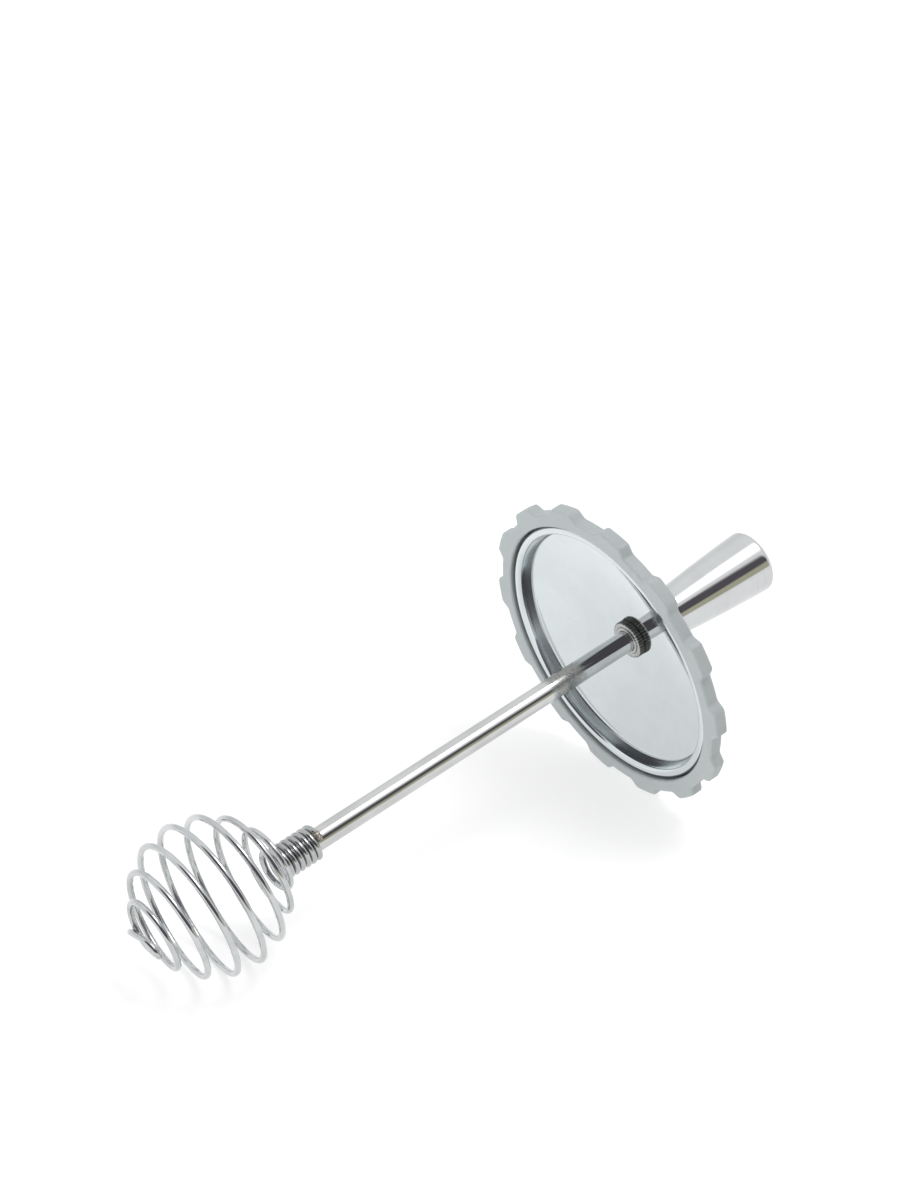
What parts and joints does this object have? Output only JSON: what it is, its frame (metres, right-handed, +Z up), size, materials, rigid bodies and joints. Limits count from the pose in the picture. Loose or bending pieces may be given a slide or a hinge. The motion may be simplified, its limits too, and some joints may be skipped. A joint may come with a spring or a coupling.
{
  "type": "hand egg beater",
  "caption": "Hand egg beater: a flared handle and slim rod slide and turn through a domed lid with a lobed grip ring, and drive a sprung ball of coiled wire.",
  "frame": {"origin": "middle of the footprint, on the surface that the beater lies on", "axes": "+Z up from the table; +X along the beater from the wire ball to the handle; the rod rises towards the handle by 10.69 degrees and the lid's ring stands on two lobes"},
  "size_m": [0.1996, 0.0876, 0.0857],
  "materials": {
    "spring_wire": "bright drawn stainless spring wire, fine lengthwise draw marks",
    "weld_bead": "tack weld, rough with brown heat tint",
    "rod_steel": "polished stainless rod with fine scratches and a dull rubbed band near the lid",
    "handle_steel": "mirror-polished stainless sheet with light cross scratches",
    "turned_steel": "turned stainless, satin",
    "knurled_steel": "coarse dark knurl with bright worn edges",
    "lid_steel": "mirror-polished pressed stainless sheet, faint scratches",
    "ring_silicone": "pale blue-grey moulded silicone, matt",
    "seal_rubber": "translucent white silicone seal"
  },
  "bodies": {
    "lid": {"lid_plate": "lid_steel", "grip_ring": "ring_silicone", "guide_bush": "turned_steel", "collar_nut": "knurled_steel", "seal_washer": "seal_rubber"},
    "seal": {"shaft_seal": "seal_rubber"},
    "plunger": {"rod": "rod_steel", "whisk_wire": "spring_wire", "wire_weld": "weld_bead", "handle_insert": "turned_steel", "handle_shell": "handle_steel", "handle_end_cap": "handle_steel"}
  },
  "joints": [
    {"name": "rod_spin", "type": "hinge", "parent": "lid", "child": "seal", "pos_m": [0.05741, 0, 0.04481], "axis": [0.9826, 0, 0.1856], "continuous": true},
    {"name": "rod_slide", "type": "slide", "parent": "seal", "child": "plunger", "axis": [0.9826, 0, 0.1856], "range_m": [0, 0.1]}
  ]
}
